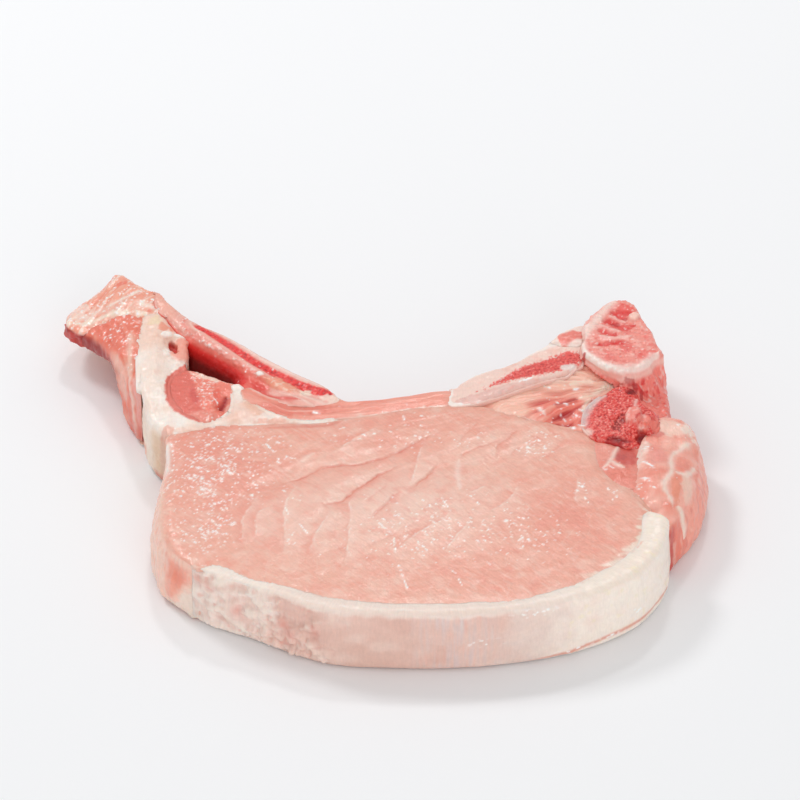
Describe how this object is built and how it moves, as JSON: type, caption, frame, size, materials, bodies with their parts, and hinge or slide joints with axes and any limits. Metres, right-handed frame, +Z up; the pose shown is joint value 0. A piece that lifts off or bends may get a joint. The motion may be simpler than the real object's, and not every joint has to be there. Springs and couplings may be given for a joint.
{
  "type": "raw pork chop",
  "caption": "Raw bone-in pork loin chop: a slab of lean meat with a back-fat rim, cut vertebra, rib ends and a belly flap, lying flat, ready to cook or display.",
  "frame": {"origin": "centre of the chop's box, on the flat lower face it lies on", "axes": "+X from the belly flap towards the vertebra side, -Y towards the back fat, +Z up from the lower cut to the upper cut"},
  "size_m": [0.1598, 0.1394, 0.0225],
  "materials": {
    "lean": "moist, pale pink muscle",
    "dark_lean": "moist, darker pink muscle",
    "fat": "satin, creamy white fat",
    "cartilage": "moist, milky white cartilage",
    "bone": "moist, sawn pink bone",
    "spongy_bone": "moist, porous dark red bone"
  },
  "bodies": {
    "root": {"eye_muscle": "lean", "fat_cap": "fat", "lobe_muscle": "lean", "oval_muscle": "dark_lean", "arch_bone": "spongy_bone", "vertebra_bone": "bone", "disc_cartilage": "cartilage", "near_rib_bone": "bone", "strand_muscle": "lean", "strip_muscle": "lean", "far_rib_bone": "bone", "ridge_fat": "fat", "round_muscle": "dark_lean", "end_muscle": "lean", "flap_muscle": "dark_lean"}
  },
  "joints": []
}
